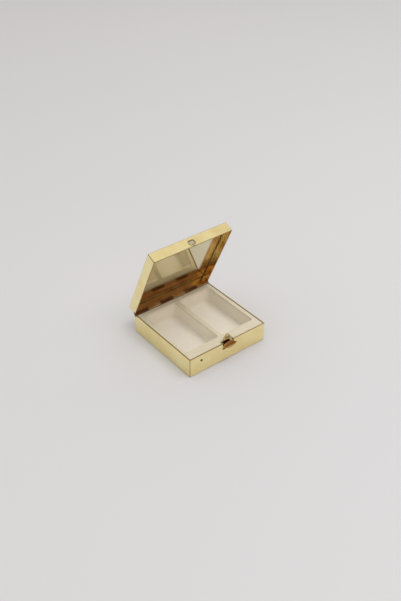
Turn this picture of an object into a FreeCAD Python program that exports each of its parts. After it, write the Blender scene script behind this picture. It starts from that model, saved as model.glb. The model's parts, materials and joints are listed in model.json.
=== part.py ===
"""Square hinged pill box: brass case, two-compartment tray, mirror lid, sprung catch.

X runs along the front edge, +Y points to the hinge and +Z points up. The origin is the
middle of the underside. All sizes are in millimetres and angles in degrees. The lid is
drawn shut and then turned about the hinge line to its resting angle.
"""

import FreeCAD
import Part
import os
import Sketcher

DRIVING_SIZES = [
    ("case_width", 45.0, "outside of the case along the front edge"),
    ("case_depth", 43.8, "outside of the case from front to back"),
    ("base_height", 10.05, "underside to the rim of the base"),
    ("lid_height", 5.24, "rim of the lid to its top panel"),
    ("rim_gap", 0.18, "gap between the two rims when shut"),
    ("sheet", 0.45, "thickness of the brass sheet"),
    ("edge_radius", 0.35, "outside rounding of the case edges"),
    ("inner_radius", 0.15, "inside rounding of the case edges"),
    ("open_angle", 65.25, "angle the lid stands open at rest"),
    ("hinge_inset", 0.3, "hinge line inside the back face of the case"),
    ("pin_radius", 0.5, "hinge pin"),
    ("pin_fit", 0.05, "running clearance of the pin in the knuckles"),
    ("knuckle_wall", 0.35, "wall of the hinge knuckles"),
    ("pin_end_inset", 0.15, "each pin end inside the outermost knuckle faces"),
    ("pin_end_bevel", 0.125, "bevel of the pin ends"),
    ("barrel_clearance", 0.12, "case edges from the hinge barrel"),
    ("knuckle_gap", 0.1, "gap between neighbouring knuckles"),
    ("leaf_thickness", 0.4, "hinge leaves"),
    ("base_leaf_height", 2.6, "base hinge leaf below the barrel recess"),
    ("lid_leaf_height", 1.7, "lid hinge leaf above the barrel recess"),
    ("leaf_end_inset", 0.6, "hinge leaf ends from the inside of the side walls"),
    ("tab_start", 0.07, "leaf tabs from the bore, inside the wall of the knuckles"),
    ("tray_clearance", 0.2, "tray from the walls of the base"),
    ("tray_drop", 0.1, "tray top below the rim of the base"),
    ("tray_back_gap", 0.05, "tray from the barrel recess of the case"),
    ("tray_back_rim", 2.7, "tray rim behind the compartments"),
    ("tray_front_rim", 5.25, "tray shelf in front of the compartments"),
    ("tray_side_rim", 1.9, "tray rim beside the compartments"),
    ("divider", 2.2, "wall between the compartments, at its top"),
    ("tray_floor", 1.0, "tray floor"),
    ("tray_skirt_lift", 0.55, "underside of the tray floor above the base panel"),
    ("tray_draft", 3.0, "lean of the compartment walls"),
    ("tray_corner", 1.4, "compartment corner rounding"),
    ("tray_floor_fillet", 0.7, "compartment floor rounding"),
    ("tray_lip", 0.35, "rounding of the compartment lips"),
    ("shelf_thickness", 1.1, "front shelf of the tray"),
    ("bay_wall", 1.3, "tray wall behind the latch bay"),
    ("bay_end", 0.95, "tray ribs at both ends of the latch bay"),
    ("spring_thickness", 0.3, "latch spring strip"),
    ("spring_height", 3.0, "latch spring strip, lower to upper edge"),
    ("spring_headroom", 0.45, "latch spring below the tray shelf"),
    ("spring_reach", 17.4, "left end of the latch spring from the middle"),
    ("spring_corner", 0.6, "corner rounding of the latch spring"),
    ("rivet_reach", 15.8, "latch rivet from the middle"),
    ("rivet_radius", 0.42, "latch rivet shank"),
    ("rivet_fit", 0.03, "rivet shank in the case wall"),
    ("rivet_head_radius", 0.6, "rivet head on the outside"),
    ("rivet_head_height", 0.2, "rivet head on the outside"),
    ("rivet_head_dome", 0.17, "rounding of the rivet head on the outside"),
    ("rivet_tail_radius", 0.95, "rivet head on the inside"),
    ("rivet_tail_height", 0.3, "rivet head on the inside"),
    ("rivet_play", 0.15, "rivet inner head from the spring"),
    ("tongue_half_width", 3.1, "catch tongue, half of its width"),
    ("tongue_thickness", 0.5, "catch tongue"),
    ("tongue_headroom", 0.22, "top of the tongue from the mirror when shut"),
    ("tongue_shoulder_rise", 0.85, "where the tongue starts to narrow, above the rim"),
    ("tongue_crown", 0.7, "half width of the top of the tongue"),
    ("tongue_shoulder_radius", 1.55, "rounding of the tongue's shoulders"),
    ("tongue_crown_radius", 0.63, "rounding of the top of the tongue"),
    ("catch_hole_width", 3.2, "hole in the lid for the nose"),
    ("catch_hole_height", 2.1, "hole in the lid for the nose"),
    ("catch_hole_lift", 1.12, "lower edge of the hole above the rim of the lid"),
    ("catch_hole_corner", 0.63, "corner rounding of the hole in the lid"),
    ("nose_side_gap", 0.4, "catch nose from each side of its hole"),
    ("nose_under_gap", 0.25, "catch nose above the lower edge of its hole"),
    ("nose_height", 1.3, "catch nose with its ramp"),
    ("nose_lip", 0.3, "upright edge of the catch nose"),
    ("nose_bite", 0.25, "catch nose inside the thickness of the lid wall"),
    ("neck_width", 4.4, "button neck"),
    ("neck_height", 0.75, "button neck"),
    ("neck_drop", 0.95, "top of the neck below the top of the button"),
    ("neck_bite", 0.9, "neck under the button leaf"),
    ("notch_side_gap", 1.1, "notch in the front rim from the sides of the neck"),
    ("notch_under_gap", 1.95, "notch in the front rim below the neck"),
    ("notch_corner", 0.36, "corner rounding of the notch"),
    ("press_angle", 1.5, "turn of the latch when pressed"),
    ("button_half_length", 3.85, "button leaf, half of its length"),
    ("button_rise", 0.1, "top of the button leaf above the rim"),
    ("button_gap", 0.1, "top edge of the button leaf in front of the case"),
    ("button_height", 2.35, "button leaf from top to bottom"),
    ("button_swell", 1.7, "button leaf from its top edge out to its lip"),
    ("button_crown", 0.25, "bulge of the button leaf"),
    ("button_leaf", 0.5, "upright thickness of the button leaf"),
    ("slot_side_gap", 0.4, "tray slot beside the tongue"),
    ("slot_reserve", 0.3, "gap left behind the tongue when pressed"),
    ("glass_thickness", 0.9, "mirror glass"),
    ("silver_thickness", 0.05, "mirror coat and its backing paint"),
    ("adhesive_thickness", 0.15, "mirror adhesive"),
    ("mirror_clearance", 0.3, "mirror from the walls of the lid"),
    ("adhesive_inset", 1.6, "adhesive edge from the mirror edge"),
    ("glass_arris", 0.15, "chamfer of the mirror edge"),
]

WORKED_OUT_SIZES = [
    ("half_width", "case_width / 2"),
    ("half_depth", "case_depth / 2"),
    ("lid_bottom", "base_height + rim_gap"),
    ("lid_top", "lid_bottom + lid_height"),
    ("through_wall", "sheet * 2.5"),
    ("inner_half_width", "half_width - sheet"),
    ("inner_half_depth", "half_depth - sheet"),
    ("hinge_back", "half_depth - hinge_inset"),
    ("hinge_up", "base_height + rim_gap / 2"),
    ("bore_radius", "pin_radius + pin_fit"),
    ("barrel_radius", "bore_radius + knuckle_wall"),
    ("recess_half", "barrel_radius + barrel_clearance"),
    ("recess_front", "hinge_back - recess_half"),
    ("recess_bottom", "hinge_up - recess_half"),
    ("recess_top", "hinge_up + recess_half"),
    ("knuckle_pitch", "case_width / 6"),
    ("knuckle_length", "knuckle_pitch - knuckle_gap"),
    ("leaf_half_width", "inner_half_width - leaf_end_inset"),
    ("leaf_back", "inner_half_depth"),
    ("leaf_front", "leaf_back - leaf_thickness"),
    ("tab_reach", "bore_radius + tab_start"),
    ("tray_half_width", "inner_half_width - tray_clearance"),
    ("tray_front", "-inner_half_depth + tray_clearance"),
    ("tray_back", "recess_front - tray_back_gap"),
    ("tray_top", "base_height - tray_drop"),
    ("pocket_back", "tray_back - tray_back_rim"),
    ("pocket_front", "tray_front + tray_front_rim"),
    ("pocket_outer", "tray_half_width - tray_side_rim"),
    ("pocket_floor", "sheet + tray_skirt_lift + tray_floor"),
    ("bay_back", "pocket_front - bay_wall"),
    ("bay_top", "tray_top - shelf_thickness"),
    ("spring_front", "-inner_half_depth"),
    ("spring_back", "spring_front + spring_thickness"),
    ("spring_top", "bay_top - spring_headroom"),
    ("spring_bottom", "spring_top - spring_height"),
    ("spring_middle", "(spring_bottom + spring_top) / 2"),
    ("tongue_front", "spring_back"),
    ("tongue_back", "tongue_front + tongue_thickness"),
    ("press_travel", "(spring_reach + neck_width / 2) * sin(press_angle * 1deg)"),
    ("button_back", "-half_depth - button_gap"),
    ("button_front", "button_back - button_swell"),
    ("button_top", "base_height + button_rise"),
    ("button_bottom", "button_top - button_height"),
    ("button_low", "button_bottom + button_leaf"),
    ("button_middle", "(button_top + button_bottom) / 2"),
    ("almond_flat", "button_half_length * button_half_length / button_height"),
    ("almond_radius", "almond_flat + button_height / 4"),
    ("slope_drop", "button_top - button_low"),
    ("slope_length", "sqrt(button_swell * button_swell + slope_drop * slope_drop)"),
    ("crown_flat", "slope_length * slope_length / (8 * button_crown)"),
    ("crown_radius", "crown_flat + button_crown / 2"),
    ("crown_out", "button_back - button_swell / 2 - button_crown * slope_drop / slope_length"),
    ("crown_up", "button_top - slope_drop / 2 + button_crown * button_swell / slope_length"),
    ("neck_top", "button_top - neck_drop"),
    ("neck_bottom", "neck_top - neck_height"),
    ("notch_bottom", "neck_bottom - notch_under_gap"),
    ("notch_width", "neck_width + notch_side_gap * 2"),
    ("slot_depth", "tongue_back - tray_front + press_travel + slot_reserve"),
    ("catch_hole_bottom", "lid_bottom + catch_hole_lift"),
    ("nose_bottom", "catch_hole_bottom + nose_under_gap"),
    ("nose_reach", "spring_thickness + nose_bite"),
    ("nose_half_width", "catch_hole_width / 2 - nose_side_gap"),
    ("glass_back", "lid_top - sheet - adhesive_thickness - silver_thickness"),
    ("glass_front", "glass_back - glass_thickness"),
    ("tongue_top", "glass_front - tongue_headroom"),
    ("tongue_shoulder", "base_height + tongue_shoulder_rise"),
    ("mirror_half_width", "inner_half_width - mirror_clearance"),
    ("mirror_half_depth", "inner_half_depth - mirror_clearance"),
]

AXIS_ALONG_X = FreeCAD.Vector(1, 0, 0)
AXIS_ALONG_Z = FreeCAD.Vector(0, 0, 1)
TINY = 1e-4

document = FreeCAD.newDocument("pill_box")
sheet = document.addObject("Spreadsheet::Sheet", "Sizes")


def fill_sheet():
    """Write the driving sizes as plain numbers and the rest as formulas."""
    row = 1
    for name, value, meaning in DRIVING_SIZES:
        sheet.set("A%d" % row, name)
        sheet.set("B%d" % row, str(value))
        sheet.set("C%d" % row, meaning)
        sheet.setAlias("B%d" % row, name)
        row += 1
    document.recompute()
    for name, formula in WORKED_OUT_SIZES:
        sheet.set("A%d" % row, name)
        sheet.set("B%d" % row, "=" + formula)
        sheet.setAlias("B%d" % row, name)
        document.recompute()
        row += 1


def size(rule):
    """Number that an expression over the sheet gives now."""
    return float(sheet.evalExpression(rule))


def linked(rule):
    """The same expression as seen from another object of the document."""
    names = [entry[0] for entry in DRIVING_SIZES] + [entry[0] for entry in WORKED_OUT_SIZES]
    words = rule.replace("(", "( ").replace(")", " )").split()
    turned = []
    for word in words:
        sign = "-" if word.startswith("-") and word.lstrip("-") in names else ""
        bare = word.lstrip("-") if sign else word
        turned.append(sign + "Sizes." + bare if bare in names else word)
    return " ".join(turned)


def new_body(label):
    """Empty body whose label is the name of the piece."""
    body = document.addObject("PartDesign::Body", "Body_" + label)
    body.Label = label
    return body


def new_sketch(body, name, plane, offset="0"):
    """Sketch on an origin plane of the body, moved along the plane's normal."""
    sketch = body.newObject("Sketcher::SketchObject", name)
    support = [feature for feature in body.Origin.OriginFeatures if feature.Role == plane]
    sketch.AttachmentSupport = [(support[0], "")]
    sketch.MapMode = "FlatFace"
    sketch.setExpression("AttachmentOffset.Base.z", linked(offset))
    return sketch


def tie_point(sketch, geometry, end, across, up):
    """Hold one sketch point at two sizes from the sketch origin."""
    for kind, rule in (("DistanceX", across), ("DistanceY", up)):
        index = sketch.addConstraint(
            Sketcher.Constraint(kind, -1, 1, geometry, end, size(rule))
        )
        sketch.setExpression("Constraints[%d]" % index, linked(rule))


def add_outline(sketch, corners):
    """Closed outline of straight lines through corners given as pairs of rules."""
    first = sketch.GeometryCount
    points = [FreeCAD.Vector(size(across), size(up), 0) for across, up in corners]
    count = len(points)
    for index in range(count):
        line = Part.LineSegment(points[index], points[(index + 1) % count])
        sketch.addGeometry(line, False)
    for index in range(count):
        following = first + (index + 1) % count
        sketch.addConstraint(
            Sketcher.Constraint("Coincident", first + index, 2, following, 1)
        )
    for index, (across, up) in enumerate(corners):
        tie_point(sketch, first + index, 1, across, up)


def add_box_outline(sketch, left, right, low, high):
    """Rectangle between four rules."""
    add_outline(sketch, [(left, low), (right, low), (right, high), (left, high)])


def add_circle(sketch, across, up, radius):
    """Circle with a tied centre and radius."""
    centre = FreeCAD.Vector(size(across), size(up), 0)
    index = sketch.addGeometry(Part.Circle(centre, AXIS_ALONG_Z, size(radius)), False)
    tie_point(sketch, index, 3, across, up)
    radius_index = sketch.addConstraint(Sketcher.Constraint("Radius", index, size(radius)))
    sketch.setExpression("Constraints[%d]" % radius_index, linked(radius))


def add_feature(body, kind, name, sketch, length, flip=False, both_ways=False):
    """Pad or pocket of a stated length, checked for having changed the body."""
    document.recompute()
    before = body.Shape.Volume if body.Tip else 0.0
    feature = body.newObject("PartDesign::" + kind, name)
    feature.Profile = sketch
    feature.setExpression("Length", linked(length))
    feature.Reversed = flip
    feature.SideType = "Symmetric" if both_ways else "One side"
    document.recompute()
    if abs(feature.Shape.Volume - before) < TINY:
        raise ValueError(name + " changes nothing")
    return feature


def round_edges(body, name, radius, base, chosen):
    """Fillet of the edges of a feature that a test picks out."""
    edges = [
        "Edge%d" % (index + 1)
        for index, edge in enumerate(base.Shape.Edges)
        if chosen(edge)
    ]
    if not edges:
        raise ValueError(name + " finds no edge")
    fillet = body.newObject("PartDesign::Fillet", name)
    fillet.Base = (base, edges)
    fillet.setExpression("Radius", linked(radius))
    document.recompute()
    return fillet


def bevel_edges(body, name, width, base, chosen):
    """Chamfer of the edges of a feature that a test picks out."""
    edges = [
        "Edge%d" % (index + 1)
        for index, edge in enumerate(base.Shape.Edges)
        if chosen(edge)
    ]
    if not edges:
        raise ValueError(name + " finds no edge")
    bevel = body.newObject("PartDesign::Chamfer", name)
    bevel.Base = (base, edges)
    bevel.setExpression("Size", linked(width))
    document.recompute()
    return bevel


def is_upright(edge):
    """True for an edge that runs along Z."""
    box = edge.BoundBox
    return box.XLength < TINY and box.YLength < TINY


def runs_front_to_back(edge):
    """True for an edge that runs along Y."""
    box = edge.BoundBox
    return box.XLength < TINY and box.ZLength < TINY


def lies_at(edge, height):
    """True for an edge in the level plane at a height."""
    box = edge.BoundBox
    return abs(box.ZMin - height) < TINY and abs(box.ZMax - height) < TINY


def within(edge, half_width, front, back):
    """True for an edge whose box stays inside limits across and in depth."""
    box = edge.BoundBox
    inside_width = box.XMin > -half_width and box.XMax < half_width
    return inside_width and box.YMin > front and box.YMax < back


def open_with_lid(body):
    """Turn a piece of the lid about the hinge line to the resting angle."""
    body.setExpression(
        "Placement",
        "placement(vector(0; 0; 0); rotation(vector(1; 0; 0); -Sizes.open_angle);"
        " vector(0; Sizes.hinge_back; Sizes.hinge_up))",
    )


def make_base_shell():
    """Drawn lower half of the case."""
    body = new_body("base_shell")
    outline = new_sketch(body, "base_outline", "XY_Plane")
    add_box_outline(outline, "-half_width", "half_width", "-half_depth", "half_depth")
    block = add_feature(body, "Pad", "base_block", outline, "base_height")
    rounded = round_edges(
        body,
        "base_outer_edges",
        "edge_radius",
        block,
        lambda edge: is_upright(edge) or lies_at(edge, 0),
    )
    body.Tip = rounded
    hollow_outline = new_sketch(body, "base_hollow_outline", "XY_Plane", "base_height")
    add_box_outline(
        hollow_outline,
        "-inner_half_width",
        "inner_half_width",
        "-inner_half_depth",
        "inner_half_depth",
    )
    hollow = add_feature(body, "Pocket", "base_hollow", hollow_outline, "base_height - sheet")
    outer_limit = size("half_width - sheet / 2")
    depth_limit = size("half_depth - sheet / 2")
    softened = round_edges(
        body,
        "base_inner_edges",
        "inner_radius",
        hollow,
        lambda edge: (is_upright(edge) or lies_at(edge, size("sheet")))
        and within(edge, outer_limit, -depth_limit, depth_limit),
    )
    body.Tip = softened
    recess = new_sketch(body, "base_barrel_recess_outline", "YZ_Plane")
    add_box_outline(
        recess, "recess_front", "half_depth + sheet", "recess_bottom", "base_height + sheet"
    )
    add_feature(
        body, "Pocket", "base_barrel_recess", recess, "case_width + sheet", both_ways=True
    )
    notch = new_sketch(body, "latch_notch_outline", "XZ_Plane", "half_depth + sheet")
    add_box_outline(
        notch, "-notch_width / 2", "notch_width / 2", "notch_bottom", "base_height + sheet"
    )
    cut = add_feature(body, "Pocket", "latch_notch", notch, "through_wall")
    notch_half = size("notch_width / 2")
    notch_low = size("notch_bottom")
    eased = round_edges(
        body,
        "latch_notch_corners",
        "notch_corner",
        cut,
        lambda edge: runs_front_to_back(edge)
        and abs(abs(edge.BoundBox.XMin) - notch_half) < TINY
        and abs(edge.BoundBox.ZMin - notch_low) < TINY,
    )
    body.Tip = eased
    rivet_hole = new_sketch(body, "rivet_hole_outline", "XZ_Plane", "half_depth + sheet")
    add_circle(rivet_hole, "-rivet_reach", "spring_middle", "rivet_radius + rivet_fit")
    add_feature(body, "Pocket", "rivet_hole", rivet_hole, "through_wall")
    return body


def make_lid_shell():
    """Drawn upper half of the case, with the hole that takes the catch nose."""
    body = new_body("lid_shell")
    outline = new_sketch(body, "lid_outline", "XY_Plane", "lid_bottom")
    add_box_outline(outline, "-half_width", "half_width", "-half_depth", "half_depth")
    block = add_feature(body, "Pad", "lid_block", outline, "lid_height")
    rounded = round_edges(
        body,
        "lid_outer_edges",
        "edge_radius",
        block,
        lambda edge: is_upright(edge) or lies_at(edge, size("lid_top")),
    )
    body.Tip = rounded
    hollow_outline = new_sketch(body, "lid_hollow_outline", "XY_Plane", "lid_top - sheet")
    add_box_outline(
        hollow_outline,
        "-inner_half_width",
        "inner_half_width",
        "-inner_half_depth",
        "inner_half_depth",
    )
    hollow = add_feature(body, "Pocket", "lid_hollow", hollow_outline, "lid_height - sheet")
    outer_limit = size("half_width - sheet / 2")
    depth_limit = size("half_depth - sheet / 2")
    softened = round_edges(
        body,
        "lid_inner_edges",
        "inner_radius",
        hollow,
        lambda edge: (is_upright(edge) or lies_at(edge, size("lid_top - sheet")))
        and within(edge, outer_limit, -depth_limit, depth_limit),
    )
    body.Tip = softened
    recess = new_sketch(body, "lid_barrel_recess_outline", "YZ_Plane")
    add_box_outline(
        recess, "recess_front", "half_depth + sheet", "lid_bottom - sheet", "recess_top"
    )
    add_feature(
        body, "Pocket", "lid_barrel_recess", recess, "case_width + sheet", both_ways=True
    )
    hole = new_sketch(body, "catch_hole_outline", "XZ_Plane", "half_depth + sheet")
    add_box_outline(
        hole,
        "-catch_hole_width / 2",
        "catch_hole_width / 2",
        "catch_hole_bottom",
        "catch_hole_bottom + catch_hole_height",
    )
    cut = add_feature(body, "Pocket", "catch_hole", hole, "through_wall")
    hole_half = size("catch_hole_width / 2")
    eased = round_edges(
        body,
        "catch_hole_corners",
        "catch_hole_corner",
        cut,
        lambda edge: runs_front_to_back(edge)
        and abs(abs(edge.BoundBox.XMin) - hole_half) < TINY
        and edge.BoundBox.YMax < 0,
    )
    body.Tip = eased
    open_with_lid(body)
    return body


def make_compartment_tray():
    """Moulded insert: two compartments, a front shelf and a bay for the latch."""
    body = new_body("compartment_tray")
    outline = new_sketch(body, "tray_outline", "XY_Plane", "sheet")
    add_box_outline(
        outline, "-tray_half_width", "tray_half_width", "tray_front", "tray_back"
    )
    block = add_feature(body, "Pad", "tray_block", outline, "tray_top - sheet")
    corners = round_edges(body, "tray_outer_corners", "tray_lip", block, is_upright)
    body.Tip = corners
    pockets = new_sketch(body, "compartment_outline", "XY_Plane", "tray_top")
    add_box_outline(pockets, "divider / 2", "pocket_outer", "pocket_front", "pocket_back")
    add_box_outline(pockets, "-pocket_outer", "-divider / 2", "pocket_front", "pocket_back")
    hollow = add_feature(body, "Pocket", "compartments", pockets, "tray_top - pocket_floor")
    hollow.setExpression("TaperAngle", linked("-tray_draft"))
    document.recompute()
    side_limit = size("tray_half_width - tray_side_rim / 2")
    front_limit = size("pocket_front - tray_side_rim / 2")
    back_limit = size("pocket_back + tray_side_rim / 2")
    floor_level = size("pocket_floor")
    top_level = size("tray_top")
    slanted = round_edges(
        body,
        "compartment_corners",
        "tray_corner",
        hollow,
        lambda edge: within(edge, side_limit, front_limit, back_limit)
        and edge.BoundBox.ZLength > size("tray_top - pocket_floor") / 2,
    )
    floors = round_edges(
        body,
        "compartment_floor_edges",
        "tray_floor_fillet",
        slanted,
        lambda edge: within(edge, side_limit, front_limit, back_limit)
        and lies_at(edge, floor_level),
    )
    lips = round_edges(
        body,
        "compartment_lips",
        "tray_lip",
        floors,
        lambda edge: within(edge, side_limit, front_limit, back_limit)
        and lies_at(edge, top_level),
    )
    body.Tip = lips
    under = new_sketch(body, "tray_underside_outline", "XY_Plane", "sheet")
    add_box_outline(
        under,
        "-pocket_outer",
        "pocket_outer",
        "pocket_front",
        "pocket_back",
    )
    add_feature(body, "Pocket", "tray_underside", under, "tray_skirt_lift", flip=True)
    bay = new_sketch(body, "latch_bay_outline", "XY_Plane", "sheet")
    add_box_outline(
        bay,
        "-tray_half_width + bay_end",
        "tray_half_width - bay_end",
        "tray_front - sheet",
        "bay_back",
    )
    add_feature(body, "Pocket", "latch_bay", bay, "bay_top - sheet", flip=True)
    slot = new_sketch(body, "tongue_slot_outline", "XY_Plane", "tray_top")
    add_box_outline(
        slot,
        "-tongue_half_width - slot_side_gap",
        "tongue_half_width + slot_side_gap",
        "tray_front - sheet",
        "tray_front + slot_depth",
    )
    add_feature(body, "Pocket", "tongue_slot", slot, "shelf_thickness")
    return body


def make_hinge_leaf(label, first_knuckle, plate_low, plate_high, tab_low, tab_high):
    """Flat strip with three knuckles, each one pitch apart from the next gap."""
    body = new_body(label)
    plate = new_sketch(body, label + "_plate_outline", "XZ_Plane", "-leaf_back")
    add_box_outline(plate, "-leaf_half_width", "leaf_half_width", plate_low, plate_high)
    add_feature(body, "Pad", label + "_plate", plate, "leaf_thickness")
    ring = new_sketch(body, label + "_knuckle_outline", "YZ_Plane", first_knuckle)
    add_circle(ring, "hinge_back", "hinge_up", "barrel_radius")
    knuckle = add_feature(body, "Pad", label + "_knuckle", ring, "knuckle_length")
    tab = new_sketch(body, label + "_tab_outline", "YZ_Plane", first_knuckle)
    add_box_outline(tab, "leaf_front", "leaf_back", tab_low, tab_high)
    neck = add_feature(body, "Pad", label + "_tab", tab, "knuckle_length")
    row = body.newObject("PartDesign::LinearPattern", label + "_knuckles")
    row.Originals = [knuckle, neck]
    along = [feature for feature in body.Origin.OriginFeatures if feature.Role == "X_Axis"]
    row.Direction = (along[0], [""])
    row.setExpression("Length", linked("knuckle_pitch * 4"))
    row.Occurrences = 3
    body.Tip = row
    document.recompute()
    bore = new_sketch(body, label + "_bore_outline", "YZ_Plane")
    add_circle(bore, "hinge_back", "hinge_up", "bore_radius")
    add_feature(
        body, "Pocket", label + "_bore", bore, "case_width + knuckle_gap", both_ways=True
    )
    return body


def make_base_hinge_leaf():
    """Leaf soldered inside the back wall of the base."""
    return make_hinge_leaf(
        "base_hinge_leaf",
        "-half_width + knuckle_gap / 2",
        "recess_bottom - base_leaf_height",
        "recess_bottom",
        "recess_bottom",
        "hinge_up - tab_reach",
    )


def make_lid_hinge_leaf():
    """Leaf soldered inside the back wall of the lid."""
    body = make_hinge_leaf(
        "lid_hinge_leaf",
        "-half_width + knuckle_pitch + knuckle_gap / 2",
        "recess_top",
        "recess_top + lid_leaf_height",
        "hinge_up + tab_reach",
        "recess_top",
    )
    open_with_lid(body)
    return body


def make_hinge_pin():
    """Wire that runs through all the knuckles."""
    body = new_body("hinge_pin")
    end = new_sketch(body, "pin_outline", "YZ_Plane")
    add_circle(end, "hinge_back", "hinge_up", "pin_radius")
    wire = add_feature(
        body,
        "Pad",
        "pin_wire",
        end,
        "case_width - knuckle_gap - pin_end_inset * 2",
        both_ways=True,
    )
    bevel_edges(body, "pin_ends", "pin_end_bevel", wire, lambda edge: edge.Closed)
    return body


def make_latch_rivet():
    """Rivet through the front wall that holds the end of the latch spring."""
    body = new_body("latch_rivet")
    shank = new_sketch(body, "rivet_shank_outline", "XZ_Plane", "half_depth")
    add_circle(shank, "-rivet_reach", "spring_middle", "rivet_radius")
    add_feature(
        body,
        "Pad",
        "rivet_shank",
        shank,
        "sheet + spring_thickness + rivet_play + rivet_tail_height",
        flip=True,
    )
    head = new_sketch(body, "rivet_head_outline", "XZ_Plane", "half_depth")
    add_circle(head, "-rivet_reach", "spring_middle", "rivet_head_radius")
    cap = add_feature(body, "Pad", "rivet_head", head, "rivet_head_height")
    outermost = size("-half_depth - rivet_head_height")
    domed = round_edges(
        body,
        "rivet_head_edge",
        "rivet_head_dome",
        cap,
        lambda edge: edge.BoundBox.YMax < outermost + TINY,
    )
    body.Tip = domed
    tail = new_sketch(
        body, "rivet_tail_outline", "XZ_Plane", "-spring_back - rivet_play"
    )
    add_circle(tail, "-rivet_reach", "spring_middle", "rivet_tail_radius")
    add_feature(body, "Pad", "rivet_tail", tail, "rivet_tail_height", flip=True)
    return body


def make_latch_spring():
    """Flat strip along the inside of the front wall that carries tongue and button."""
    body = new_body("latch_spring")
    strip = new_sketch(body, "spring_outline", "XZ_Plane", "-spring_front")
    add_box_outline(
        strip, "-spring_reach", "tongue_half_width", "spring_bottom", "spring_top"
    )
    flat = add_feature(
        body, "Pad", "spring_strip", strip, "spring_thickness", flip=True
    )
    corners = round_edges(
        body,
        "spring_corners",
        "spring_corner",
        flat,
        lambda edge: runs_front_to_back(edge),
    )
    body.Tip = corners
    hole = new_sketch(body, "spring_hole_outline", "XZ_Plane", "-spring_front")
    add_circle(hole, "-rivet_reach", "spring_middle", "rivet_radius + rivet_play")
    add_feature(body, "Pocket", "spring_hole", hole, "spring_thickness * 2")
    return body


def make_catch_tongue():
    """Plate that stands up behind the front rim and carries the catch nose."""
    body = new_body("catch_tongue")
    outline = new_sketch(body, "tongue_outline", "XZ_Plane", "-tongue_front")
    add_outline(
        outline,
        [
            ("-tongue_half_width", "spring_bottom"),
            ("tongue_half_width", "spring_bottom"),
            ("tongue_half_width", "tongue_shoulder"),
            ("tongue_crown", "tongue_top"),
            ("-tongue_crown", "tongue_top"),
            ("-tongue_half_width", "tongue_shoulder"),
        ],
    )
    plate = add_feature(body, "Pad", "tongue_plate", outline, "tongue_thickness", flip=True)
    shoulder = size("tongue_shoulder")
    crown = size("tongue_top")
    shoulders = round_edges(
        body,
        "tongue_shoulders",
        "tongue_shoulder_radius",
        plate,
        lambda edge: runs_front_to_back(edge) and lies_at(edge, shoulder),
    )
    crowned = round_edges(
        body,
        "tongue_crown_edges",
        "tongue_crown_radius",
        shoulders,
        lambda edge: runs_front_to_back(edge) and lies_at(edge, crown),
    )
    body.Tip = crowned
    nose = new_sketch(body, "nose_outline", "YZ_Plane")
    add_outline(
        nose,
        [
            ("tongue_front + tongue_thickness / 2", "nose_bottom"),
            ("tongue_front - nose_reach", "nose_bottom"),
            ("tongue_front - nose_reach", "nose_bottom + nose_lip"),
            ("tongue_front", "nose_bottom + nose_height"),
            ("tongue_front + tongue_thickness / 2", "nose_bottom + nose_height"),
        ],
    )
    add_feature(body, "Pad", "nose", nose, "nose_half_width * 2", both_ways=True)
    return body


def add_bow(sketch, start, crown, finish, radius):
    """Arc tied at both ends and by its radius; gives the points at start and finish."""
    spots = [FreeCAD.Vector(size(across), size(up), 0) for across, up in (start, crown, finish)]
    index = sketch.addGeometry(Part.Arc(*spots), False)
    begins_at_start = (sketch.getPoint(index, 1) - spots[0]).Length < TINY
    first, last = (1, 2) if begins_at_start else (2, 1)
    tie_point(sketch, index, first, start[0], start[1])
    tie_point(sketch, index, last, finish[0], finish[1])
    radius_index = sketch.addConstraint(Sketcher.Constraint("Radius", index, size(radius)))
    sketch.setExpression("Constraints[%d]" % radius_index, linked(radius))
    return (index, first), (index, last)


def add_chain(sketch, first, corners, last):
    """Straight lines from one sketch point through corners to another point."""
    spots = [sketch.getPoint(*first)]
    spots += [FreeCAD.Vector(size(across), size(up), 0) for across, up in corners]
    spots.append(sketch.getPoint(*last))
    lines = [
        sketch.addGeometry(Part.LineSegment(spots[index], spots[index + 1]), False)
        for index in range(len(spots) - 1)
    ]
    sketch.addConstraint(Sketcher.Constraint("Coincident", lines[0], 1, *first))
    for index, (across, up) in enumerate(corners):
        sketch.addConstraint(
            Sketcher.Constraint("Coincident", lines[index], 2, lines[index + 1], 1)
        )
        tie_point(sketch, lines[index + 1], 1, across, up)
    sketch.addConstraint(Sketcher.Constraint("Coincident", lines[-1], 2, *last))


def make_thumb_button():
    """Almond-shaped sloping leaf with a neck back to the catch tongue."""
    body = new_body("thumb_button")
    almond = new_sketch(body, "button_almond_outline", "XZ_Plane", "-button_back")
    for peak in ("button_top", "button_bottom"):
        add_bow(
            almond,
            ("-button_half_length", "button_middle"),
            ("0", peak),
            ("button_half_length", "button_middle"),
            "almond_radius",
        )
    add_feature(body, "Pad", "button_almond", almond, "button_swell")
    for name, lowered, beyond in (
        ("button_face", "", "button_top + sheet"),
        ("button_underside", " - button_leaf", "button_bottom - sheet"),
    ):
        section = new_sketch(body, name + "_outline", "YZ_Plane")
        first, last = add_bow(
            section,
            ("button_back", "button_top" + lowered),
            ("crown_out", "crown_up" + lowered),
            ("button_front", "button_low" + lowered),
            "crown_radius",
        )
        add_chain(
            section,
            first,
            [("button_back", beyond), ("button_front - sheet", beyond)],
            last,
        )
        add_feature(
            body, "Pocket", name, section, "button_half_length * 3", both_ways=True
        )
    neck = new_sketch(body, "button_neck_outline", "XZ_Plane", "-button_back + neck_bite")
    add_box_outline(neck, "-neck_width / 2", "neck_width / 2", "neck_bottom", "neck_top")
    add_feature(
        body,
        "Pad",
        "button_neck",
        neck,
        "neck_bite + button_gap + sheet + spring_thickness",
        flip=True,
    )
    return body


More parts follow.
